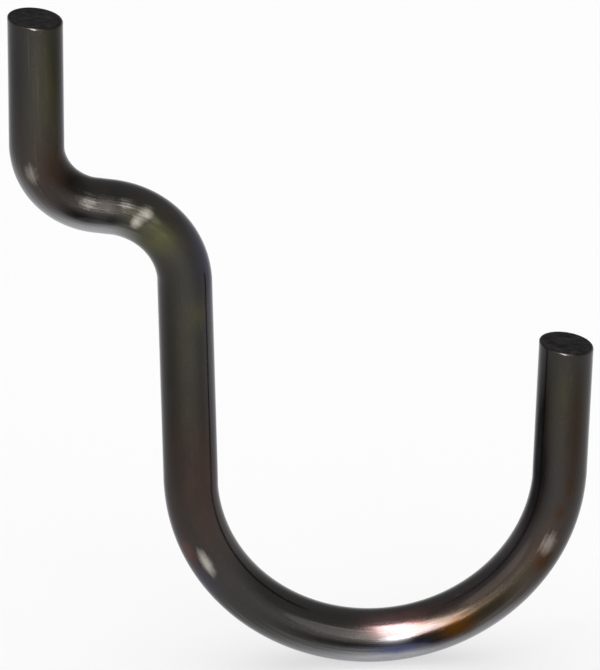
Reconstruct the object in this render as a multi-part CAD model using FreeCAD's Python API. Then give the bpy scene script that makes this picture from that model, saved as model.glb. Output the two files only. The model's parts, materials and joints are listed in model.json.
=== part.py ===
import FreeCAD, Part
import math
import os

# An open peg hook, bent cold from one straight length of plated round rod.
# The rod is worked out from its tail to its tip: tail, tail bend, sloping run, shoulder bend, shank,
# round cradle and tip. The hook lies in the XZ plane, +Z up along the tail and +X out of the board.
# The origin is on the rod's axis, halfway along the run, which is the part inside the board's hole.

# Driving dimensions, in millimetres and degrees

rod_diameter = 5.5

tail_straight = 13.6  # stands up behind the board
tail_bend_inside = 4.1  # inside radius, where the tail turns into the run
run_straight = 1.5  # passes through the hole in the board
shoulder_bend_inside = 5.9  # inside radius, over the lower edge of the hole
shank_straight = 21.9  # hangs down in front of the board
cradle_opening = 31.75  # clear width across the round cradle
tip_straight = 14.1  # upright end that keeps things on the hook

run_slope = 8.9  # the run falls this much towards the front
shank_lean = 1.3  # the foot of the shank stands this much further out than its top
tip_flare = 2.1  # the tip leans this much away from the shank

shear_slant = 5.5  # both ends are cut by the same slanted blade
edge_rounding = 0.2  # rim of each cut end, worn smooth by tumbling before it was plated

# Sizes that follow from them

rod_radius = rod_diameter / 2
tail_bend_radius = tail_bend_inside + rod_radius
shoulder_bend_radius = shoulder_bend_inside + rod_radius
cradle_radius = cradle_opening / 2 + rod_radius

# Headings of the rod's axis, anticlockwise from +X as seen from the front, -Y

down = -90
tail_heading = down
run_heading = -run_slope
shank_heading = down + shank_lean
tip_heading = 90 - tip_flare

# The slanted cut takes the rim this far past, or short of, the end's centre
rim_reach = rod_radius * math.tan(math.radians(shear_slant))


def towards(heading):
    """Unit vector along a heading in the plane of the hook."""
    angle = math.radians(heading)
    return FreeCAD.Vector(math.cos(angle), 0, math.sin(angle))


def straight_leg(start, heading, length):
    """Edge of a straight leg, and the point where it ends."""
    end = start + towards(heading) * length
    return Part.LineSegment(start, end).toShape(), end


def round_bend(start, heading, next_heading, radius):
    """Edge of an arc that leaves start along one heading and ends along the next, and its end point."""
    side = math.copysign(90, next_heading - heading)
    centre = start + towards(heading + side) * radius
    middle = centre + towards((heading + next_heading) / 2 - side) * radius
    end = centre + towards(next_heading - side) * radius
    return Part.Arc(start, middle, end).toShape(), end


def rod_axis(start):
    """The rod's axis as one smooth chain of edges, with spare length at both ends for the slanted cuts."""
    legs = [
        (tail_heading, tail_straight + rim_reach, tail_bend_radius),
        (run_heading, run_straight, shoulder_bend_radius),
        (shank_heading, shank_straight, cradle_radius),
        (tip_heading, tip_straight + rim_reach, None),
    ]
    edges = []
    point = start
    for leg, (heading, length, bend_radius) in enumerate(legs):
        edge, point = straight_leg(point, heading, length)
        edges.append(edge)
        if bend_radius:
            edge, point = round_bend(point, heading, legs[leg + 1][0], bend_radius)
            edges.append(edge)
    return Part.Wire(edges), point


def start_of_axis():
    """Start point that puts the middle of the run at the origin."""
    run_start = towards(run_heading) * (-run_straight / 2)
    bend_centre = run_start + towards(run_heading + 90) * tail_bend_radius
    tail_end = bend_centre + towards(tail_heading - 90) * tail_bend_radius
    return tail_end - towards(tail_heading) * (tail_straight + rim_reach)


def shear_block(end_centre, outward_heading, slant):
    """Block that takes away everything past a cut, whose face leans by slant from square."""
    size = 4 * rod_diameter
    normal = towards(outward_heading + slant)
    corner = FreeCAD.Vector(-size / 2, -size / 2, 0)
    block = Part.makeBox(size, size, size, corner)
    block.Placement = FreeCAD.Placement(end_centre, FreeCAD.Rotation(FreeCAD.Vector(0, 0, 1), normal))
    return block


def end_rims(rod, end_centres):
    """The rim edges of the two flat cut ends."""
    flats = [face for face in rod.Faces if isinstance(face.Surface, Part.Plane)]
    ends = [face for face in flats if min(face.CenterOfMass.distanceToPoint(c) for c in end_centres) < rod_radius]
    return [edge for face in ends for edge in face.Edges]


def bent_rod():
    """The whole hook: a round section carried along the axis, sheared at both ends, with its rims rounded."""
    start = start_of_axis()
    axis, finish = rod_axis(start)
    section = Part.Wire(Part.makeCircle(rod_radius, start, towards(tail_heading)))
    rod = axis.makePipeShell([section], True, False)
    tail_end = start + towards(tail_heading) * rim_reach
    tip_end = finish - towards(tip_heading) * rim_reach
    rod = rod.cut(shear_block(tail_end, tail_heading + 180, -shear_slant))
    rod = rod.cut(shear_block(tip_end, tip_heading, -shear_slant))
    rod = rod.makeFillet(edge_rounding, end_rims(rod, [tail_end, tip_end]))
    return rod.Solids[0]


os.makedirs("parts", exist_ok=True)
bent_rod().exportStep("parts/bent_rod.step")
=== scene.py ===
"""Looks of the peg hook: one bent round rod with a dark glossy plating, upright over a plain white floor.

Lengths are metres, angles are degrees unless a name says otherwise, and the hook keeps the frame it was made
in: +Z up along the tail, +X out of the board, the rod's axis in the XZ plane. Its cradle touches the floor.
"""

import json
import logging
import math
from dataclasses import astuple, dataclass, field, fields
from enum import Enum

import bpy
import numpy as np
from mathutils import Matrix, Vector


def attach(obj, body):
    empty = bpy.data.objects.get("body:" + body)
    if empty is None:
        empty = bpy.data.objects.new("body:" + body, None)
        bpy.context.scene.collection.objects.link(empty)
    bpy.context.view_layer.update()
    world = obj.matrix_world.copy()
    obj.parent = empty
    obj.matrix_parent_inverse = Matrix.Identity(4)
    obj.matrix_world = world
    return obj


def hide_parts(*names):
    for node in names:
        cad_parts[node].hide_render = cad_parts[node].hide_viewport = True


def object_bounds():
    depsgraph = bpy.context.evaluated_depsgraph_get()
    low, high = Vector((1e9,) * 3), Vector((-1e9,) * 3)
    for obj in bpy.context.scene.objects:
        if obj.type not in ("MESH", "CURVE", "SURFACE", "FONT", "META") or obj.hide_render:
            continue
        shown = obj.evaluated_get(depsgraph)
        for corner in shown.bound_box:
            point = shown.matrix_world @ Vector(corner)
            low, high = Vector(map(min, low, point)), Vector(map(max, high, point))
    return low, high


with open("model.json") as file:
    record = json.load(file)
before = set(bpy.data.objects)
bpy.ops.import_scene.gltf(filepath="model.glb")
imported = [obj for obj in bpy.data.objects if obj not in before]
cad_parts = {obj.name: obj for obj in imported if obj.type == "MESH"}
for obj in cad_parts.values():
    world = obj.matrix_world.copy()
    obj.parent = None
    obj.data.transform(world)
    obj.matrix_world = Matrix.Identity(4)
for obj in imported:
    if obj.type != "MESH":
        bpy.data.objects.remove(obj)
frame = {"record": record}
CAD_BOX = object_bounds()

LOG = logging.getLogger("peg_hook")
MM = 0.001
PICTURE_HEIGHT = 670

Socket = bpy.types.NodeSocket
Colour = tuple[float, float, float, float]
WHITE: Colour = (1.0, 1.0, 1.0, 1.0)


class Side(Enum):
    """Which way a bend turns, as seen from the front: -1 is clockwise and 1 is anticlockwise."""

    RIGHT = -1
    LEFT = 1


class Lights(Enum):
    """What a lamp is for: soft light on everything, glints in the metal, or light on matt things alone."""

    ALL = "all"
    GLINTS = "glints"
    MATT = "matt"


class Outline(Enum):
    """Outline of a lamp's face, named as Blender names it, with its share of the box around it."""

    RECTANGLE = 1.0
    ELLIPSE = math.pi / 4


class Attribute(Enum):
    """Names of the values that the rod's mesh carries for its finish."""

    BLANK = "blank"
    CUT = "cut"
    RUB = "rub"
    # Worn spots with painted glints, painted sheen and painted shade
    WORN = "worn"
    BURNISHED = "burnished"
    DUSK = "dusk"
    BROWN = "brown"
    OLIVE = "olive"
    SLATE = "slate"
    BLUE = "blue"
    ROSE = "rose"
    AMBER = "amber"


def unit(heading: np.ndarray | float) -> np.ndarray:
    """Unit vectors in the hook's plane.

    Args:
        heading: angles from +X towards +Z, in degrees.

    Returns:
        (cos, 0, sin) of each heading, along the last axis.
    """
    angle = np.radians(heading)
    return np.stack([np.cos(angle), np.zeros_like(angle), np.sin(angle)], axis=-1)


def direction(azimuth: float, elevation: float) -> Vector:
    """Unit vector from the hook towards a place around it.

    Args:
        azimuth: 0 is the front, -Y, and positive turns towards +X.
        elevation: above the horizon.

    Returns:
        The unit vector.
    """
    a, e = math.radians(azimuth), math.radians(elevation)
    return Vector((math.sin(a) * math.cos(e), -math.cos(a) * math.cos(e), math.sin(e)))


def smooth_step(x: np.ndarray) -> np.ndarray:
    """Rise from 0 to 1 while x goes from 0 to 1: 3 x squared less 2 x cubed, held level outside."""
    x = np.clip(x, 0.0, 1.0)
    return x * x * (3.0 - 2.0 * x)


@dataclass(frozen=True)
class HookSizes:
    """Sizes of the bent rod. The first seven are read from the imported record's mounts."""

    rod_radius: float
    tail_straight: float
    run_straight: float
    cradle_inside: float
    tip_straight: float
    run_heading: float
    tip_heading: float
    tail_heading: float = -90.0
    shank_lean: float = 1.3
    shank_straight: float = 21.9 * MM
    tail_bend_inside: float = 4.1 * MM
    shoulder_bend_inside: float = 5.9 * MM
    shear_slant: float = 5.5
    edge_rounding: float = 0.2 * MM

    @classmethod
    def from_record(cls, record: dict) -> "HookSizes":
        """Read the sizes that the record's mounts state.

        Args:
            record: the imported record.

        Returns:
            The hook's sizes, in metres and degrees.
        """
        mounts = {m["name"]: m for m in record["mounts"]}
        length = {name: m["dims"].get("length_mm", 0.0) * MM for name, m in mounts.items()}
        to_board, tip_axis = mounts["peg_run"]["axis"], mounts["tip_peg"]["axis"]
        return cls(
            rod_radius=mounts["tail_peg"]["dims"]["r_mm"] * MM,
            tail_straight=length["tail_peg"],
            run_straight=length["peg_run"],
            cradle_inside=mounts["cradle"]["dims"]["r_mm"] * MM,
            tip_straight=length["tip_peg"],
            run_heading=math.degrees(math.atan2(-to_board[2], -to_board[0])),
            tip_heading=math.degrees(math.atan2(tip_axis[2], tip_axis[0])),
        )

    @property
    def shank_heading(self) -> float:
        """Heading of the shank, which leans out a little towards its foot."""
        return self.tail_heading + self.shank_lean


@dataclass
class Axis:
    """Samples along the rod's axis: places, headings, distance from the tail's end, and how bent it is."""

    place: np.ndarray
    heading: np.ndarray
    along: np.ndarray
    inside: np.ndarray
    bent: np.ndarray

    @classmethod
    def joined(cls, parts: list["Axis"]) -> "Axis":
        """Put parts of the axis end to end."""
        names = [f.name for f in fields(cls)]
        return cls(*(np.concatenate([getattr(part, name) for part in parts]) for name in names))


@dataclass
class RodAxis:
    """The rod's axis: straight legs joined by tangent arcs, from the tail's end to the tip's end."""

    sizes: HookSizes
    spacing: float = 0.25 * MM
    run_in: float = 1.2 * MM

    def legs(self) -> list[tuple[float, float, float]]:
        """List the straight legs.

        Returns:
            Length, heading and radius of the bend that follows, for each leg. No bend follows the tip.
        """
        s = self.sizes
        return [
            (s.tail_straight, s.tail_heading, s.tail_bend_inside + s.rod_radius),
            (s.run_straight, s.run_heading, s.shoulder_bend_inside + s.rod_radius),
            (s.shank_straight, s.shank_heading, s.cradle_inside + s.rod_radius),
            (s.tip_straight, s.tip_heading, 0.0),
        ]

    def stretches(self) -> list[tuple[float, float, float]]:
        """List the straights and the bends between them, in order.

        A bend's length is its radius times its turn in radians.

        Returns:
            Length, first heading and last heading of each.
        """
        legs = self.legs()
        made = []
        for (length, heading, radius), following in zip(legs, legs[1:] + [None]):
            made.append((length, heading, heading))
            if following:
                turn = following[1] - heading
                made.append((radius * math.radians(abs(turn)), heading, following[1]))
        return made

    def sample(self) -> Axis:
        """Walk the axis in even steps, with the middle of the run at the origin.

        A bend's heading goes evenly from its first to its last. Its place is its start plus radius times the
        difference of the unit vectors a quarter turn to the side. A straight is its start plus distance times
        heading.

        Returns:
            The samples. inside is the side that a bend turns to, and bent rises from 0 to 1 over run_in at
            each end of a bend.
        """
        parts, start, travelled = [], np.zeros(3), 0.0
        for length, first, last in self.stretches():
            count = max(2, int(round(length / self.spacing)))
            share = np.linspace(0.0, 1.0, count + 1)
            heading = first + (last - first) * share
            if last == first:
                side = 0.0
                place = start + unit(heading) * (share * length)[:, None]
            else:
                side = (Side.LEFT if last > first else Side.RIGHT).value
                radius = length / math.radians(abs(last - first))
                place = start + radius * (unit(first + 90.0 * side) - unit(heading + 90.0 * side))
            from_end = np.minimum(share, 1.0 - share) * length
            parts.append(
                Axis(
                    place[:-1],
                    heading[:-1],
                    travelled + share[:-1] * length,
                    np.full(count, float(side)),
                    smooth_step(from_end[:-1] / self.run_in) * abs(side),
                )
            )
            start, travelled = place[-1], travelled + length
        parts.append(Axis(start[None], heading[-1:], np.array([travelled]), np.zeros(1), np.zeros(1)))
        walked = Axis.joined(parts)
        walked.place -= self.middle_of_run(walked)
        return walked

    def middle_of_run(self, walked: Axis) -> np.ndarray:
        """Find the place halfway along the run.

        Args:
            walked: the axis, walked from anywhere.

        Returns:
            The place, read off between the two samples next to it.
        """
        (tail, _, _), (bend, _, _), (run, _, _) = self.stretches()[:3]
        middle = tail + bend + run / 2
        return np.array([np.interp(middle, walked.along, walked.place[:, k]) for k in range(3)])


@dataclass(frozen=True)
class Mark:
    """A soft-edged oval on the wall: its middle, its half sizes, and its depth in mm or its strength.

    along and long are millimetres from the tail's end. angle and wide are degrees around the section: 0 is to
    the left of the way from tail to tip, 90 is the front, 180 is the right, which is the underside at the
    cradle's floor, and -90 is the back.
    """

    along: float
    angle: float
    long: float
    wide: float
    amount: float

    def on(self, along: np.ndarray, theta: np.ndarray) -> np.ndarray:
        """Its amount at places on the wall.

        The amount times two bells, each e to the minus square of the distance over the half size.

        Args:
            along: distance along the rod in metres.
            theta: angle around the section in radians.

        Returns:
            The amounts, shaped as the two broadcast together.
        """
        turn = np.degrees(theta) - self.angle
        turn = (turn + 180.0) % 360.0 - 180.0
        return self.amount * np.exp(-(((along / MM - self.along) / self.long) ** 2) - (turn / self.wide) ** 2)


def summed(marks: tuple[Mark, ...], along: np.ndarray, theta: np.ndarray) -> np.ndarray:
    """All marks of one kind added up at places on the wall."""
    return sum((mark.on(along, theta) for mark in marks), np.zeros(np.broadcast(along, theta).shape))


@dataclass(frozen=True)
class FormingMarks:
    """What forming and use left on the wall, and light painted on it: jaw dents, worn spots with painted
    glints, painted sheen, the film's hues and painted shade.

    Each Mark gives, in this order, its place along, its angle, how long and how wide it is, and its amount.
    """

    dents: tuple[Mark, ...] = (
        # Around the run, where the jaws held it, in front and at the back
        Mark(20.6, 76.0, 0.9, 34.0, 0.012),
        Mark(24.1, 70.0, 0.6, 34.0, 0.008),
        Mark(28.2, 78.0, 0.7, 40.0, 0.040),
        Mark(22.0, -90.0, 0.8, 34.0, 0.022),
        Mark(26.4, -90.0, 0.8, 34.0, 0.022),
        # Start of the cradle
        Mark(62.5, 96.0, 1.2, 30.0, 0.012),
        Mark(64.5, -90.0, 1.2, 30.0, 0.012),
    )
    worn: tuple[Mark, ...] = (
        # Painted glints before and after the run, as spots of bare steel
        Mark(22.0, 62.0, 1.5, 24.0, 0.38),
        Mark(25.9, 56.0, 1.0, 22.0, 0.36),
        Mark(27.2, 88.0, 0.6, 15.0, 0.80),
        Mark(27.8, 60.0, 0.6, 19.0, 0.74),
        # Painted glints on the cradle below the tip, the tail bend, and the cradle below the shank
        Mark(109.0, 95.0, 1.7, 17.0, 0.56),
        Mark(15.5, 112.0, 1.3, 17.0, 0.46),
        Mark(66.9, 104.0, 1.7, 11.0, 0.9),
        # Back of the cradle and of the run
        Mark(60.0, -90.0, 3.0, 20.0, 0.5),
        Mark(24.0, -90.0, 2.5, 30.0, 0.6),
    )
    burnished: tuple[Mark, ...] = (
        # Painted sheen: a lighter middle on the tail, and painted reflection of the white floor on the
        # underside of the tail bend and of the run
        Mark(5.0, 97.0, 9.0, 20.0, 0.06),
        Mark(17.5, 172.0, 3.6, 42.0, 0.6),
        Mark(23.8, 163.0, 4.2, 48.0, 1.4),
        # Painted reflection of the white floor on the underside of the cradle
        Mark(87.0, 166.0, 9.5, 50.0, 1.3),
        Mark(97.5, 166.0, 5.0, 46.0, 0.8),
        Mark(104.0, 174.0, 5.0, 36.0, 0.5),
        # Painted highlight on the front of the cradle's floor, around the brightest glint
        Mark(89.0, 118.0, 4.0, 16.0, 0.5),
        Mark(89.8, 78.0, 1.8, 9.0, 0.5),
        Mark(93.4, 66.0, 2.4, 10.0, 0.12),
    )
    hues: tuple[tuple[Attribute, tuple[Mark, ...]], ...] = (
        # Painted shade: near-black bands and lines where the rod's reflections would be dark
        (Attribute.DUSK, (
            # Painted shade along both edges of the tail
            Mark(5.0, 135.0, 10.0, 22.0, 0.45),
            Mark(5.0, 52.0, 10.0, 24.0, 0.85),
            # Painted shade on the tail bend, run and shoulder bend, with a dark gap between the run's painted
            # glints
            Mark(16.5, 58.0, 3.2, 36.0, 0.60),
            Mark(19.2, 34.0, 2.2, 30.0, 0.5),
            Mark(21.6, 100.0, 2.2, 12.0, 1.2),
            Mark(25.2, 98.0, 1.6, 10.0, 0.8),
            Mark(24.9, 64.0, 0.8, 24.0, 0.6),
            Mark(34.5, 40.0, 4.0, 26.0, 0.4),
            # Painted shade along the shank
            Mark(44.0, 130.0, 14.0, 24.0, 0.60),
            Mark(44.0, 62.0, 14.0, 14.0, 0.40),
            Mark(56.0, 92.0, 11.0, 75.0, 0.28),
            # Painted shade on the cradle's floor, beside and below the brightest glint
            Mark(84.0, 88.0, 7.0, 10.0, 0.9),
            Mark(93.8, 85.0, 2.4, 10.0, 1.8),
            Mark(94.0, 103.0, 2.2, 12.0, 0.9),
            Mark(99.4, 76.0, 2.4, 12.0, 1.0),
            Mark(99.0, 91.0, 4.0, 14.0, 1.1),
            # Painted shade on the tip and the cradle's end below it
            Mark(121.0, 38.0, 9.0, 24.0, 0.95),
            Mark(121.0, 114.0, 9.0, 20.0, 0.60),
            Mark(126.0, 85.0, 6.5, 60.0, 0.25),
            Mark(113.0, 30.0, 7.0, 26.0, 0.9),
        )),
        (Attribute.BROWN, (
            Mark(15.2, 72.0, 4.2, 60.0, 0.5),
            Mark(58.5, 70.0, 8.0, 80.0, 0.6),
            Mark(65.8, 132.0, 1.5, 18.0, 0.9),
            Mark(90.8, 38.0, 4.2, 28.0, 0.95),
            Mark(103.0, 60.0, 8.0, 80.0, 0.4),
            Mark(108.8, 96.0, 2.4, 24.0, 0.9),
            Mark(121.0, 108.0, 6.0, 26.0, 0.5),
        )),
        (Attribute.OLIVE, (
            Mark(7.0, 72.0, 7.0, 32.0, 0.35),
            Mark(29.6, 82.0, 2.7, 60.0, 0.9),
            Mark(39.4, 72.0, 1.6, 26.0, 0.4),
            Mark(44.0, 90.0, 9.0, 40.0, 0.15),
            Mark(103.0, 68.0, 6.0, 44.0, 0.3),
            Mark(124.0, 84.0, 5.0, 34.0, 0.25),
        )),
        (Attribute.SLATE, (
            Mark(34.0, 25.0, 5.0, 35.0, 0.6),
            Mark(46.0, 20.0, 12.0, 26.0, 0.5),
            Mark(68.6, 126.0, 2.0, 22.0, 0.7),
            Mark(104.0, 35.0, 6.0, 30.0, 0.5),
        )),
        (Attribute.BLUE, (
            Mark(89.3, 102.0, 2.4, 11.0, 1.2),
        )),
        (Attribute.ROSE, (
            Mark(65.6, 136.0, 1.4, 16.0, 0.35),
            Mark(89.8, 36.0, 3.2, 20.0, 1.0),
        )),
        (Attribute.AMBER, (
            Mark(96.2, 93.0, 1.7, 18.0, 1.5),
            Mark(107.1, 106.0, 1.2, 16.0, 0.7),
            Mark(112.7, 94.0, 0.9, 9.0, 0.6),
            Mark(115.6, 106.0, 1.2, 9.0, 0.4),
            Mark(26.0, -90.0, 1.2, 12.0, 0.5),
        )),
    )


@dataclass(frozen=True)
class Ripple:
    """One sine over a cut face: its height, its radians per radius across and to the side, and its phase."""

    height: float
    across: float
    side: float
    phase: float = 0.0


@dataclass(frozen=True)
class ShearedEnd:
    """A cut end: a face that the blade cut and then broke, with a rounded rim, rolled over on one side.

    bite and bite_fade are shares of the rod's radius, and rim_fade is a share of the face's.
    """

    radius: float
    rounding: float
    slant: float
    face_rows: int = 14
    rim_rows: int = 8
    roll_over: float = 1.6
    torn_depth: float = 0.05 * MM
    bite: float = 0.45
    bite_fade: float = 0.35
    rim_fade: float = 0.25
    torn_level: float = 0.55
    torn_ripples: tuple[Ripple, ...] = (Ripple(0.25, 9.0, 4.0), Ripple(0.2, -6.0, 17.0, 1.3))

    def rows(self, theta: np.ndarray) -> tuple[np.ndarray, np.ndarray, np.ndarray]:
        """Rings from the face's middle out over the rim, as if the end were square.

        The face's radius grows evenly to where the rounding starts. The rounding is a quarter circle. Its
        radius is larger where the blade went in, by a smooth share of the cosine. Past the blade's first bite
        the metal broke, so the face dips there by a rough sum of sines.

        Args:
            theta: angles around the section in radians, 0 where the blade went in.

        Returns:
            Radius, depth below the end's plane, and share of cut metal, each of shape (rings, angles).
        """
        rounding = self.rounding * (1.0 + (self.roll_over - 1.0) * smooth_step(0.5 + 0.5 * np.cos(theta)))
        flat_radius = self.radius - rounding
        share = (np.arange(1, self.face_rows + 1) / self.face_rows)[:, None]
        face_radius = share * flat_radius
        across = face_radius * np.cos(theta) / self.radius
        side = face_radius * np.sin(theta) / self.radius
        past_bite = smooth_step((self.bite - across) / self.bite_fade)
        broken = past_bite * smooth_step((1.0 - share) / self.rim_fade)
        grain = self.torn_level + sum(
            r.height * np.sin(r.across * across + r.side * side + r.phase) for r in self.torn_ripples
        )
        turn = (np.arange(1, self.rim_rows + 1) / self.rim_rows * math.pi / 2)[:, None]
        rim_radius = flat_radius + rounding * np.sin(turn)
        rim_depth = rounding * (1.0 - np.cos(turn))
        rim_cut = np.repeat(1.0 - smooth_step(2.0 * turn / math.pi), theta.size, axis=1)
        radius = np.concatenate([face_radius, rim_radius])
        depth = np.concatenate([self.torn_depth * broken * grain, rim_depth])
        return radius, depth, np.concatenate([np.ones_like(face_radius), rim_cut])

    def slide(self, radius: np.ndarray, theta: np.ndarray) -> np.ndarray:
        """How far the slant takes a place along the rod: the slant's tangent times the distance across."""
        return math.tan(math.radians(self.slant)) * radius * np.cos(theta)


@dataclass
class BentRod:
    """The whole hook as one closed surface, with what its bending, drawing and shearing left on it.

    inset keeps the surface inside the CAD solid's box, and end_room is how far past an end the wall starts.
    """

    sizes: HookSizes
    marks: FormingMarks
    name: str = "hook_rod"
    around: int = 96
    shear_fade: float = 3.0 * MM
    end_room: float = 0.75 * MM
    inner_flat: float = 0.030 * MM
    outer_flat: float = 0.016 * MM
    flat_power: int = 4
    rub_power: int = 3
    inner_rub: float = 0.5
    draw_wave: float = 0.006 * MM
    wave_count: int = 9
    wave_mm: tuple[float, float] = (5.0, 21.0)
    wave_turns: int = 4
    inset: float = 0.004 * MM
    seed: int = 5311
    axis: Axis = field(init=False)
    skin: float = field(init=False)
    end: ShearedEnd = field(init=False)

    def __post_init__(self) -> None:
        """Walk the axis once, and shape the end that both ends share."""
        self.axis = RodAxis(self.sizes).sample()
        self.skin = self.sizes.rod_radius - self.inset
        self.end = ShearedEnd(self.skin, self.sizes.edge_rounding, self.sizes.shear_slant)

    def wall_radius(self, theta: np.ndarray) -> np.ndarray:
        """Radius of the wall at every sample and angle.

        The rod's radius, less a dip on the inner and a shallower one on the outer side of each bend, which
        are the fourth power of the cosine to that side times how bent the axis is, less the dents that the
        jaws left, less a faint draw wave, which is a sum of slow sines along and around the rod.

        Args:
            theta: angles around the section in radians, 0 towards the left of the heading.

        Returns:
            Radii of shape (samples, angles).
        """
        toward = np.cos(theta)[None, :] * self.axis.inside[:, None]
        inner = self.inner_flat * np.clip(toward, 0, 1) ** self.flat_power
        outer = self.outer_flat * np.clip(-toward, 0, 1) ** self.flat_power
        dips = (inner + outer) * self.axis.bent[:, None]
        dents = MM * summed(self.marks.dents, self.axis.along[:, None], theta[None, :])
        return self.skin - dips - dents - self.draw_wave * self.wave(theta)

    def wave(self, theta: np.ndarray) -> np.ndarray:
        """Faint unevenness of the drawn wall.

        The mean of sines, laid from 0 to 1. Each has a random phase, a random length between the two of
        wave_mm, and a random count of whole turns around, below wave_turns.

        Args:
            theta: angles around the section in radians.

        Returns:
            The unevenness, of shape (samples, angles).
        """
        rng = np.random.default_rng(self.seed)
        lengths = rng.uniform(*self.wave_mm, self.wave_count) * MM
        turns = rng.integers(0, self.wave_turns, self.wave_count)
        phases = rng.uniform(0.0, 2 * math.pi, self.wave_count)
        angle = 2 * math.pi * self.axis.along[:, None, None] / lengths + turns * theta[None, :, None] + phases
        return 0.5 + 0.5 * np.sin(angle).mean(axis=-1)

    def rings(self, theta: np.ndarray) -> tuple[np.ndarray, np.ndarray, np.ndarray]:
        """Lay the grid's rows: the tail's end, outwards, the wall, and the tip's end, inwards.

        Args:
            theta: angles around the section in radians.

        Returns:
            Radius, distance along the rod and share of cut metal, each of shape (rows, angles).
        """
        along, length = self.axis.along, self.axis.along[-1]
        tail_radius, tail_depth, tail_cut = self.end.rows(theta)
        tip_radius, tip_depth, tip_cut = (rows[::-1] for rows in self.end.rows(theta + math.pi))
        wall = np.minimum(along, length - along) > self.end_room
        wall_along = np.repeat(along[wall, None], self.around, axis=1)
        return (
            np.concatenate([tail_radius, self.wall_radius(theta)[wall], tip_radius]),
            np.concatenate([self.inset + tail_depth, wall_along, length - self.inset - tip_depth]),
            np.concatenate([tail_cut, np.zeros_like(wall_along), tip_cut]),
        )

    def build(self) -> bpy.types.Object:
        """Make the mesh.

        The wall is axis place plus radius times (cosine of theta times the left side plus sine of theta times
        the front side). Near each end its rows slide along the rod by the slant's tangent times the distance
        across, which fades to nothing over shear_fade, and the end's rings follow with the whole slide. Each
        end closes on one middle point.

        Returns:
            The linked object, with its finish's attributes.
        """
        theta = np.linspace(0.0, 2 * math.pi, self.around, endpoint=False)
        length = self.axis.along[-1]
        radius, along, cut = self.rings(theta)
        past_tail, before_tip = along / self.shear_fade, (length - along) / self.shear_fade
        near_end = 2.0 - smooth_step(past_tail) - smooth_step(before_tip)
        slid = along + self.end.slide(radius, theta) * near_end
        pole_along = np.array([[self.inset], [length - self.inset]])
        poles = self.carry(pole_along, np.zeros((2, 1)), np.zeros(1))
        points = np.concatenate([self.carry(slid, radius, theta).reshape(-1, 3), poles.reshape(-1, 3)])
        blank = np.stack([radius * np.cos(theta), radius * np.sin(theta), slid], axis=-1)
        pole_blank = np.array([[0.0, 0.0, pole_along[0, 0]], [0.0, 0.0, pole_along[1, 0]]])
        mesh = grid_mesh(self.name, points, radius.shape)
        vector_attribute(mesh, Attribute.BLANK, np.concatenate([blank.reshape(-1, 3), pole_blank]))
        self.store(mesh, Attribute.CUT, cut, at_poles=1.0)
        self.store(mesh, Attribute.RUB, self.rubbed(along, theta))
        # Worn spots with painted glints, and painted sheen
        worn_and_sheen = ((Attribute.WORN, self.marks.worn), (Attribute.BURNISHED, self.marks.burnished))
        for name, marks in worn_and_sheen + self.marks.hues:
            self.store(mesh, name, summed(marks, along, theta[None, :]))
        return link_object(self.name, mesh)

    @staticmethod
    def store(mesh: bpy.types.Mesh, name: Attribute, values: np.ndarray, at_poles: float = 0.0) -> None:
        """Store one number for each point of the grid, and the same number for both poles."""
        layer = mesh.attributes.new(name.value, "FLOAT", "POINT")
        layer.data.foreach_set("value", np.append(values, [at_poles, at_poles]).astype(np.float32))

    def carry(self, along: np.ndarray, radius: np.ndarray, theta: np.ndarray) -> np.ndarray:
        """Places on the bent rod.

        Outside the sampled length the axis goes straight on, so that a slanted end keeps its slant.

        Args:
            along: distance along the axis, shape (rows, angles).
            radius: distance from the axis, the same shape.
            theta: angle around the section, shape (angles,).

        Returns:
            Points of shape (rows, angles, 3).
        """
        walked = self.axis
        inside = np.clip(along, 0.0, walked.along[-1])
        place = np.stack([np.interp(inside, walked.along, walked.place[:, k]) for k in range(3)], axis=-1)
        heading = np.interp(inside, walked.along, walked.heading)
        ahead = unit(heading)
        left = unit(heading + 90.0)
        front = np.array([0.0, -1.0, 0.0])
        place = place + ahead * (along - inside)[..., None]
        outward = np.cos(theta)[..., None] * left + np.sin(theta)[..., None] * front
        return place + radius[..., None] * outward

    def rubbed(self, along: np.ndarray, theta: np.ndarray) -> np.ndarray:
        """Share of wear by the bending tool: the outer side of each bend, and the inner side by less.

        It is how bent the axis is, times the cube of the cosine to that side.

        Args:
            along: distance along the rod in metres.
            theta: angles around the section in radians.

        Returns:
            The shares, shaped as along.
        """
        inside = np.interp(along, self.axis.along, self.axis.inside)
        bent = np.interp(along, self.axis.along, self.axis.bent)
        toward = np.cos(theta) * inside
        outer = np.clip(-toward, 0, 1) ** self.rub_power
        inner = np.clip(toward, 0, 1) ** self.rub_power
        return bent * (outer + self.inner_rub * inner)


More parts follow.
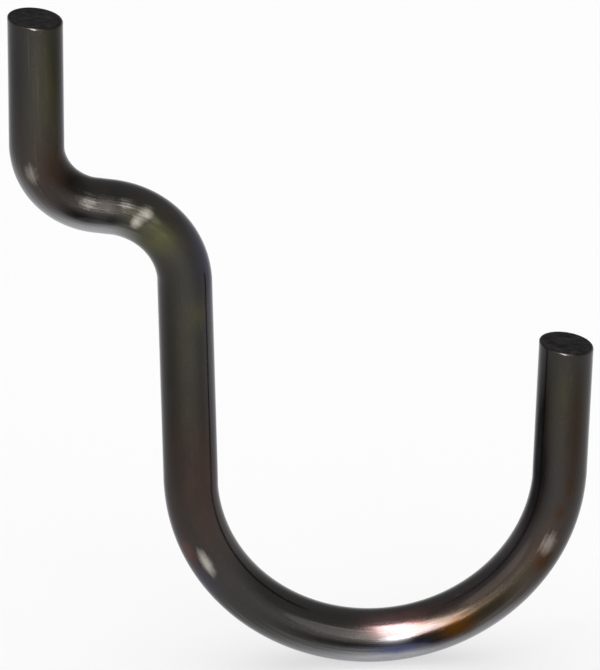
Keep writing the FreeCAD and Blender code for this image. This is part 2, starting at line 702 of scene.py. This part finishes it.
def grid_mesh(name: str, vertices: np.ndarray, shape: tuple[int, int]) -> bpy.types.Mesh:
    """Closed mesh from rows of rings, with one pole point before the first ring and one after the last.

    Args:
        name: the mesh's name.
        vertices: the grid's points, row by row, then the two poles.
        shape: rows and points in each row.

    Returns:
        The mesh, smooth, with its faces outward.
    """
    rows, around = shape
    index = np.arange(rows * around).reshape(rows, around)
    following = np.roll(index, -1, axis=1)
    quads = np.stack([index[:-1], following[:-1], following[1:], index[1:]], axis=-1).reshape(-1, 4)
    first = np.stack([np.full(around, rows * around), following[0], index[0]], axis=-1)
    last = np.stack([np.full(around, rows * around + 1), index[-1], following[-1]], axis=-1)
    corners = np.concatenate([quads.ravel(), first.ravel(), last.ravel()])
    sizes = np.concatenate([np.full(len(quads), 4), np.full(2 * around, 3)])
    starts = np.concatenate([[0], np.cumsum(sizes)[:-1]])
    mesh = bpy.data.meshes.new(name)
    mesh.vertices.add(len(vertices))
    mesh.vertices.foreach_set("co", vertices.astype(np.float32).ravel())
    mesh.loops.add(len(corners))
    mesh.loops.foreach_set("vertex_index", corners.astype(np.int32))
    mesh.polygons.add(len(sizes))
    mesh.polygons.foreach_set("loop_start", starts.astype(np.int32))
    mesh.update(calc_edges=True)
    mesh.validate()
    mesh.shade_smooth()
    return mesh


def vector_attribute(mesh: bpy.types.Mesh, name: Attribute, values: np.ndarray) -> None:
    """Store one vector for each vertex under a name."""
    layer = mesh.attributes.new(name.value, "FLOAT_VECTOR", "POINT")
    layer.data.foreach_set("vector", values.astype(np.float32).ravel())


def link_object(name: str, mesh: bpy.types.Mesh) -> bpy.types.Object:
    """Put a mesh into the scene.

    Args:
        name: the object's name.
        mesh: what it shows.

    Returns:
        The object, at the origin.
    """
    made = bpy.data.objects.new(name, mesh)
    bpy.context.scene.collection.objects.link(made)
    return made


@dataclass(frozen=True)
class Ramp:
    """A range of numbers, low to high, and the range it is laid over, start to end."""

    low: float
    high: float
    start: float = 0.0
    end: float = 1.0


@dataclass(frozen=True)
class Pattern:
    """Noise on the wall: its waves per millimetre, the last along the rod, and how fine it is."""

    per_mm: tuple[float, float, float]
    detail: float
    roughness: float = 0.55


@dataclass(frozen=True)
class Relief:
    """How strongly a pattern bends the light, and how high it stands in metres, below 0 for grooves."""

    strength: float
    height: float


class NodeSheet:
    """Short ways to add and join shader nodes in one tree."""

    mix_inputs = (0, 6, 7)
    mix_result = 2

    def __init__(self, tree: bpy.types.NodeTree) -> None:
        """Empty the tree and keep it."""
        self.tree = tree
        tree.nodes.clear()

    def add(self, kind: str, settings: dict | None = None, **inputs: object) -> bpy.types.Node:
        """Add a node.

        Args:
            kind: the node's type name.
            settings: properties of the node to set.
            inputs: socket names, with spaces as underscores, each with a socket to join or a value to set.

        Returns:
            The node.
        """
        node = self.tree.nodes.new(kind)
        for key, value in (settings or {}).items():
            setattr(node, key, value)
        for key, value in inputs.items():
            self.feed(node.inputs[key.replace("_", " ")], value)
        return node

    def feed(self, socket: Socket, value: object) -> None:
        """Fill an input.

        Args:
            socket: the input.
            value: a socket to join it to, or a value to set.
        """
        if isinstance(value, Socket):
            self.tree.links.new(value, socket)
        else:
            socket.default_value = value

    def math(self, operation: str, *values: object) -> Socket:
        """Work out numbers.

        Args:
            operation: what Blender calls it.
            values: sockets or numbers, in the node's order.

        Returns:
            The result.
        """
        node = self.tree.nodes.new("ShaderNodeMath")
        node.operation = operation
        for socket, value in zip(node.inputs, values):
            self.feed(socket, value)
        return node.outputs[0]

    def noise(self, place: Socket, pattern: Pattern) -> Socket:
        """Lay noise on the wall.

        Args:
            place: where each point lay on the straight rod.
            pattern: the noise's sizes.

        Returns:
            Noise between 0 and 1.
        """
        scaled = self.add("ShaderNodeVectorMath", {"operation": "MULTIPLY"})
        self.feed(scaled.inputs[0], place)
        self.feed(scaled.inputs[1], tuple(v / MM for v in pattern.per_mm))
        node = self.add(
            "ShaderNodeTexNoise",
            Vector=scaled.outputs[0],
            Scale=1.0,
            Detail=pattern.detail,
            Roughness=pattern.roughness,
        )
        return node.outputs["Fac"]

    def remap(self, value: Socket, ramp: Ramp) -> Socket:
        """Lay a number's range over another one.

        Args:
            value: the number.
            ramp: both ranges.

        Returns:
            The number in the second range, held at its ends.
        """
        node = self.add("ShaderNodeMapRange", {"clamp": True}, Value=value)
        for name, number in zip(("From Min", "From Max", "To Min", "To Max"), astuple(ramp)):
            node.inputs[name].default_value = number
        return node.outputs["Result"]

    def attribute(self, name: Attribute) -> Socket:
        """A number that the mesh carries."""
        return self.add("ShaderNodeAttribute", {"attribute_name": name.value}).outputs["Fac"]

    def seen(self) -> Socket:
        """Tell what is looked at from what is lit.

        Returns:
            1 for rays from the camera, from reflections and through glass, else 0.
        """
        path = self.add("ShaderNodeLightPath")
        either = self.math("MAXIMUM", path.outputs["Is Camera Ray"], path.outputs["Is Glossy Ray"])
        return self.math("MAXIMUM", either, path.outputs["Is Transmission Ray"])

    def blend(self, factor: object, first: object, second: object) -> Socket:
        """Turn one colour into another.

        Args:
            factor: how far, from 0 to 1.
            first: the colour at 0.
            second: the colour at 1.

        Returns:
            The colour between them.
        """
        node = self.tree.nodes.new("ShaderNodeMix")
        node.data_type = "RGBA"
        for index, value in zip(self.mix_inputs, (factor, first, second)):
            self.feed(node.inputs[index], value)
        return node.outputs[self.mix_result]


@dataclass(frozen=True)
class PlatingGrain:
    """The patterns that the finish is made of, each a number at every point of the wall."""

    lines: Socket
    clouds: Socket
    specks: Socket
    peel: Socket
    torn: Socket
    cut: Socket


@dataclass(frozen=True)
class DarkPlating:
    """Thin dark plating under clear lacquer, glossy on the wall and duller on the cut ends, with painted
    shade, painted sheen and painted glints in its colour.

    A cover is how much of a layer shows, by the pattern or the marks that it follows, and dulling is what a
    layer adds to the roughness.
    """

    name: str = "dark_plating"

    # Colours of the layers, from the plating up to the bare metal
    plating: Colour = (0.025, 0.0225, 0.0195, 1.0)
    draw_line: Colour = (0.026, 0.025, 0.023, 1.0)
    dust: Colour = (0.085, 0.078, 0.066, 1.0)
    # Painted sheen: a light colour for reflected light on undersides and beside the glints
    burnished: Colour = (0.40, 0.40, 0.415, 1.0)
    film: tuple[tuple[Attribute, Colour], ...] = (
        # Painted shade, near black
        (Attribute.DUSK, (0.008, 0.008, 0.008, 1.0)),
        (Attribute.BROWN, (0.068, 0.035, 0.027, 1.0)),
        (Attribute.OLIVE, (0.082, 0.078, 0.022, 1.0)),
        (Attribute.SLATE, (0.034, 0.032, 0.060, 1.0)),
        (Attribute.BLUE, (0.035, 0.050, 0.160, 1.0)),
        (Attribute.ROSE, (0.170, 0.100, 0.102, 1.0)),
        (Attribute.AMBER, (0.068, 0.027, 0.004, 1.0)),
    )
    # Bare steel, for scuffs, worn spots and painted glints
    bare_steel: Colour = (0.42, 0.395, 0.345, 1.0)
    cut_steel: Colour = (0.050, 0.047, 0.043, 1.0)
    torn_steel: Colour = (0.017, 0.016, 0.015, 1.0)
    edge_tint: Colour = (0.55, 0.55, 0.58, 1.0)

    # Patterns
    line_grain: Pattern = Pattern((6.0, 6.0, 0.12), detail=4.0)
    cloud_grain: Pattern = Pattern((0.5, 0.5, 0.22), detail=3.0)
    speck_grain: Pattern = Pattern((3.2, 3.2, 2.4), detail=5.0, roughness=0.7)
    peel_grain: Pattern = Pattern((1.1, 1.1, 0.8), detail=2.0)
    torn_grain: Pattern = Pattern((1.1, 1.7, 1.1), detail=5.0, roughness=0.6)
    scratch_grain: Pattern = Pattern((9.0, 9.0, 0.5), detail=6.0, roughness=0.75)

    # Covers
    line_cover: Ramp = Ramp(0.35, 0.7, end=0.35)
    dust_cover: Ramp = Ramp(0.60, 0.8, end=0.4)
    # Painted sheen, laid along the draw lines
    burnished_lines: float = 0.5
    burnished_cover: Ramp = Ramp(0.35, 1.15)
    film_cover: Ramp = Ramp(0.30, 0.62, start=0.35)
    torn_cover: Ramp = Ramp(0.35, 0.65)
    # Worn spots and painted glints
    worn_specks: float = 0.25
    worn_lines: float = 0.55
    worn_cover: Ramp = Ramp(0.62, 1.25, end=0.85)
    scuff_cover: float = 0.35
    scuff_rubbed: Ramp = Ramp(0.0, 1.0, start=0.25)
    scuff_clouds: Ramp = Ramp(0.42, 0.65)
    scuff_lines: Ramp = Ramp(0.58, 0.7)

    # Gloss: the wall's roughness by its draw lines, and the lacquer's weight by what takes it away
    gloss: Ramp = Ramp(0.3, 0.75, start=0.19, end=0.29)
    dust_dulling: Ramp = Ramp(0.55, 0.8, end=0.12)
    scuff_dulling: float = 0.16
    worn_dulling: float = 0.08
    cut_roughness: float = 0.42
    lacquer: Ramp = Ramp(0.0, 1.0, start=0.6, end=0.0)
    lacquer_roughness: float = 0.12
    brown_loss: float = 0.6

    # Relief
    line_relief: Relief = Relief(0.35, 0.006 * MM)
    peel_relief: Relief = Relief(0.50, 0.022 * MM)
    speck_relief: Relief = Relief(0.30, -0.006 * MM)
    torn_relief: Relief = Relief(0.60, 0.040 * MM)

    def make(self) -> bpy.types.Material:
        """Build the finish.

        Returns:
            A material that reads where each point lay on the straight rod, so draw lines follow the bends.
        """
        material = bpy.data.materials.new(self.name)
        material.use_nodes = True
        sheet = NodeSheet(material.node_tree)
        place = sheet.add("ShaderNodeAttribute", {"attribute_name": Attribute.BLANK.value}).outputs["Vector"]
        grain = PlatingGrain(
            lines=sheet.noise(place, self.line_grain),
            clouds=sheet.noise(place, self.cloud_grain),
            specks=sheet.noise(place, self.speck_grain),
            peel=sheet.noise(place, self.peel_grain),
            torn=sheet.noise(place, self.torn_grain),
            cut=sheet.attribute(Attribute.CUT),
        )
        scuffs = self.scuffs(sheet, place, grain)
        worn = self.worn(sheet, grain)
        shader = sheet.add(
            "ShaderNodeBsdfPrincipled",
            Base_Color=self.colour(sheet, grain, scuffs, worn),
            Metallic=1.0,
            Roughness=self.roughness(sheet, grain, scuffs, worn),
            Specular_Tint=self.edge_tint,
            Coat_Weight=self.lacquered(sheet, grain),
            Coat_Roughness=self.lacquer_roughness,
            Normal=self.relief(sheet, grain, scuffs),
        )
        sheet.add("ShaderNodeOutputMaterial", Surface=shader.outputs[0])
        return material

    def colour(self, sheet: NodeSheet, grain: PlatingGrain, scuffs: Socket, worn: Socket) -> Socket:
        """Lay the layers on each other.

        Args:
            sheet: the finish's nodes.
            grain: the wall's patterns.
            scuffs: share of scratches.
            worn: share of bare steel, at worn spots and painted glints.

        Returns:
            The plating with draw lines, dust, painted sheen, the film's cloudy hues and painted shade,
            scuffs, worn spots with painted glints, and cuts.
        """
        shade = self.plating
        shade = sheet.blend(sheet.remap(grain.lines, self.line_cover), shade, self.draw_line)
        shade = sheet.blend(sheet.remap(grain.specks, self.dust_cover), shade, self.dust)
        # Painted sheen, laid along the draw lines
        marks = sheet.attribute(Attribute.BURNISHED)
        sheen_share = sheet.math("MULTIPLY_ADD", grain.lines, self.burnished_lines, marks)
        shade = sheet.blend(sheet.remap(sheen_share, self.burnished_cover), shade, self.burnished)
        ragged = sheet.remap(grain.clouds, self.film_cover)
        # Film hues in ragged clouds, and the painted shade with them
        for hue, tint in self.film:
            shade = sheet.blend(sheet.math("MULTIPLY", sheet.attribute(hue), ragged), shade, tint)
        shade = sheet.blend(sheet.math("MULTIPLY", scuffs, self.scuff_cover), shade, self.bare_steel)
        # Bare steel at worn spots and at painted glints
        shade = sheet.blend(worn, shade, self.bare_steel)
        cut = sheet.blend(sheet.remap(grain.torn, self.torn_cover), self.torn_steel, self.cut_steel)
        return sheet.blend(grain.cut, shade, cut)

    def roughness(self, sheet: NodeSheet, grain: PlatingGrain, scuffs: Socket, worn: Socket) -> Socket:
        """Add up what dulls the gloss.

        Args:
            sheet: the finish's nodes.
            grain: the wall's patterns.
            scuffs: share of scratches.
            worn: share of bare steel, at worn spots and painted glints.

        Returns:
            The roughness: low, a little higher in draw lines, dust, scuffs, worn spots and painted glints,
                high on the cuts.
        """
        wall = sheet.math("MULTIPLY_ADD", scuffs, self.scuff_dulling, sheet.remap(grain.lines, self.gloss))
        dusty = sheet.math("ADD", wall, sheet.remap(grain.specks, self.dust_dulling))
        rubbed = sheet.math("MULTIPLY_ADD", worn, self.worn_dulling, dusty)
        return sheet.math("MULTIPLY_ADD", grain.cut, self.cut_roughness - self.gloss.start, rubbed)

    def lacquered(self, sheet: NodeSheet, grain: PlatingGrain) -> Socket:
        """Take the lacquer away where it is gone.

        Args:
            sheet: the finish's nodes.
            grain: the wall's patterns.

        Returns:
            The lacquer's weight, none on the cuts, in amber spots and in the painted shade, and less where it
            is brown.
        """
        gone = sheet.math("ADD", sheet.attribute(Attribute.DUSK), sheet.attribute(Attribute.AMBER))
        gone = sheet.math("MULTIPLY_ADD", sheet.attribute(Attribute.BROWN), self.brown_loss, gone)
        return sheet.remap(sheet.math("ADD", gone, grain.cut), self.lacquer)

    def worn(self, sheet: NodeSheet, grain: PlatingGrain) -> Socket:
        """Wear the plating through at worn spots, and paint glints as bare steel, with an edge that follows
        specks and lines.

        Args:
            sheet: the finish's nodes.
            grain: the wall's patterns.

        Returns:
            Share of bare steel, at worn spots and painted glints.
        """
        edge = sheet.math("MULTIPLY_ADD", grain.specks, self.worn_specks, sheet.attribute(Attribute.WORN))
        edge = sheet.math("MULTIPLY_ADD", grain.lines, self.worn_lines, edge)
        return sheet.remap(edge, self.worn_cover)

    def scuffs(self, sheet: NodeSheet, place: Socket, grain: PlatingGrain) -> Socket:
        """Scratch the wall along the rod, in clouds that are dense where the bending tool rubbed it.

        Args:
            sheet: the finish's nodes.
            place: where each point lay on the straight rod.
            grain: the wall's patterns.

        Returns:
            Share of fine broken scratches.
        """
        fine = sheet.noise(place, self.scratch_grain)
        rubbed = sheet.remap(sheet.attribute(Attribute.RUB), self.scuff_rubbed)
        where = sheet.math("MULTIPLY", sheet.remap(grain.clouds, self.scuff_clouds), rubbed)
        return sheet.math("MULTIPLY", sheet.remap(fine, self.scuff_lines), where)

    def relief(self, sheet: NodeSheet, grain: PlatingGrain, scuffs: Socket) -> Socket:
        """Bend the light by draw lines, the plating's orange peel, scratches and specks, and torn grain.

        Args:
            sheet: the finish's nodes.
            grain: the wall's patterns.
            scuffs: share of scratches.

        Returns:
            The normal after all four.
        """
        layers = (
            (self.line_relief, grain.lines),
            (self.peel_relief, grain.peel),
            (self.speck_relief, sheet.math("ADD", grain.specks, scuffs)),
            (self.torn_relief, sheet.math("MULTIPLY", grain.torn, grain.cut)),
        )
        normal = None
        for size, pattern in layers:
            bump = sheet.add("ShaderNodeBump", {"invert": size.height < 0}, Height=pattern)
            sheet.feed(bump.inputs["Strength"], size.strength)
            sheet.feed(bump.inputs["Distance"], abs(size.height))
            if normal:
                sheet.feed(bump.inputs["Normal"], normal)
            normal = bump.outputs[0]
        return normal


@dataclass(frozen=True)
class WhiteFloor:
    """A plain white floor that the cradle stands on."""

    name: str = "floor"
    half_size: float = 0.9
    paper: Colour = (0.92, 0.92, 0.92, 1.0)
    glow: float = 0.55

    def make(self, level: float) -> None:
        """Lay the floor.

        Args:
            level: its height.
        """
        h = self.half_size
        corners = [(-h, -h, level), (h, -h, level), (h, h, level), (-h, h, level)]
        mesh = bpy.data.meshes.new(self.name)
        mesh.from_pydata(corners, [], [(0, 1, 2, 3)])
        mesh.materials.append(self.material())
        floor = link_object(self.name, mesh)

    def material(self) -> bpy.types.Material:
        """Make the white paper.

        Returns:
            A material with part of its white its own for camera, reflections and glass, so it stays white.
        """
        material = bpy.data.materials.new(self.name)
        material.use_nodes = True
        sheet = NodeSheet(material.node_tree)
        lit = sheet.add("ShaderNodeBsdfDiffuse", Color=self.paper)
        white = sheet.add("ShaderNodeEmission", Color=WHITE, Strength=1.0)
        mixed = sheet.add("ShaderNodeMixShader", Fac=sheet.math("MULTIPLY", sheet.seen(), self.glow))
        sheet.feed(mixed.inputs[1], lit.outputs[0])
        sheet.feed(mixed.inputs[2], white.outputs[0])
        sheet.add("ShaderNodeOutputMaterial", Surface=mixed.outputs[0])
        return material


@dataclass(frozen=True)
class SoftBox:
    """One soft lamp, aimed at the hook. Its size and place are angles, as the hook sees it."""

    name: str
    azimuth: float
    elevation: float
    wide: float
    tall: float
    brightness: float
    colour: tuple[float, float, float] = (1.0, 1.0, 1.0)
    lights: Lights = Lights.ALL
    distance: float = 1.6
    outline: Outline = Outline.RECTANGLE

    def make(self, aim: Vector) -> None:
        """Hang the lamp. Its power is its brightness times pi times its face's area.

        Args:
            aim: what it points at.
        """
        light = bpy.data.lights.new(self.name, "AREA")
        light.shape = self.outline.name
        light.size = 2 * self.distance * math.tan(math.radians(self.wide / 2))
        light.size_y = 2 * self.distance * math.tan(math.radians(self.tall / 2))
        light.energy = self.brightness * math.pi * light.size * light.size_y * self.outline.value
        light.color = self.colour
        lamp = bpy.data.objects.new(self.name, light)
        away = direction(self.azimuth, self.elevation)
        lamp.location = aim + away * self.distance
        lamp.rotation_euler = away.to_track_quat("Z", "Y").to_euler()
        lamp.visible_camera = False
        lamp.visible_glossy = self.lights is not Lights.MATT
        lamp.visible_diffuse = self.lights is not Lights.GLINTS
        bpy.context.scene.collection.objects.link(lamp)


@dataclass(frozen=True)
class Studio:
    """Plain soft light: a strip by the camera, three dimmer lamps around it, and one overhead for the floor.

    The room's own light goes by the height it comes from, brightest at the horizon and below.
    """

    boxes: tuple[SoftBox, ...] = (
        SoftBox("front_box", azimuth=17.0, elevation=26.0, wide=38.0, tall=36.0, brightness=1.2,
                colour=(1.0, 0.99, 0.95), outline=Outline.ELLIPSE),
        SoftBox("strip_box", azimuth=-5.0, elevation=29.0, wide=16.0, tall=68.0, brightness=21.0,
                colour=(1.0, 0.94, 0.985), lights=Lights.GLINTS),
        SoftBox("warm_box", azimuth=-18.0, elevation=30.0, wide=10.0, tall=34.0, brightness=10.0,
                colour=(1.0, 0.87, 0.72), lights=Lights.GLINTS),
        SoftBox("side_box", azimuth=-50.0, elevation=18.0, wide=30.0, tall=44.0, brightness=0.8,
                colour=(1.0, 0.88, 0.76), lights=Lights.GLINTS, outline=Outline.ELLIPSE),
        SoftBox("floor_box", azimuth=180.0, elevation=80.0, wide=84.0, tall=84.0, brightness=1.1,
                lights=Lights.MATT, distance=0.5),
    )
    room: Ramp = Ramp(0.02, 0.38, start=0.9, end=0.45)

    def make(self, aim: Vector) -> None:
        """Hang the lamps and light the room.

        Args:
            aim: what the lamps point at.
        """
        for box in self.boxes:
            box.make(aim)
        world = bpy.data.worlds.new("studio")
        bpy.context.scene.world = world
        world.use_nodes = True
        sheet = NodeSheet(world.node_tree)
        toward = sheet.add("ShaderNodeTexCoord").outputs["Generated"]
        height = sheet.add("ShaderNodeSeparateXYZ", Vector=toward).outputs["Z"]
        light = sheet.add("ShaderNodeBackground", Color=WHITE, Strength=sheet.remap(height, self.room))
        sheet.add("ShaderNodeOutputWorld", Surface=light.outputs[0])


@dataclass(frozen=True)
class PhotoCamera:
    """Camera at the photograph's angle, 1 m away, turned a little to the tail's side and looking down."""

    azimuth: float = -4.2
    elevation: float = 25.0
    distance: float = 0.998
    view_height: float = 66.88 * MM
    sensor: float = 36.0
    right_px: float = 3.3
    up_px: float = 6.9

    def make(self, centre: Vector) -> None:
        """Set up the scene's camera.

        Args:
            centre: middle of the rod's axis, seen right_px and up_px from the picture's middle.
        """
        data = bpy.data.cameras.new("photo_camera")
        data.sensor_width = self.sensor
        data.lens = self.sensor * self.distance / self.view_height
        back = direction(self.azimuth, self.elevation)
        turned = (-back).to_track_quat("-Z", "Y")
        pixel = self.view_height / PICTURE_HEIGHT
        shift = turned @ Vector((-self.right_px * pixel, -self.up_px * pixel, 0.0))
        camera = bpy.data.objects.new("photo_camera", data)
        camera.location = centre + shift + back * self.distance
        camera.rotation_euler = turned.to_euler()
        bpy.context.scene.collection.objects.link(camera)
        bpy.context.scene.camera = camera


def main() -> None:
    """Build the hook and its stage, and report each piece."""
    logging.basicConfig(level=logging.INFO, format="%(name)s: %(message)s")
    bpy.context.scene.view_settings.view_transform = "Standard"

    sizes = HookSizes.from_record(frame["record"])
    rod = BentRod(sizes, FormingMarks())
    piece = rod.build()
    piece.data.materials.append(DarkPlating().make())
    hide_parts("bent_rod")
    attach(piece, "root")
    LOG.info("%s: %d faces, axis %.1f mm long", piece.name, len(piece.data.polygons), rod.axis.along[-1] / MM)

    places = rod.axis.place
    centre = Vector((places.min(axis=0) + places.max(axis=0)) / 2)
    studio = Studio()
    WhiteFloor().make(level=CAD_BOX[0].z)
    studio.make(centre)
    PhotoCamera().make(centre)
    LOG.info("stage: floor, %d lamps and the camera", len(studio.boxes))


if __name__ == "__main__":
    main()
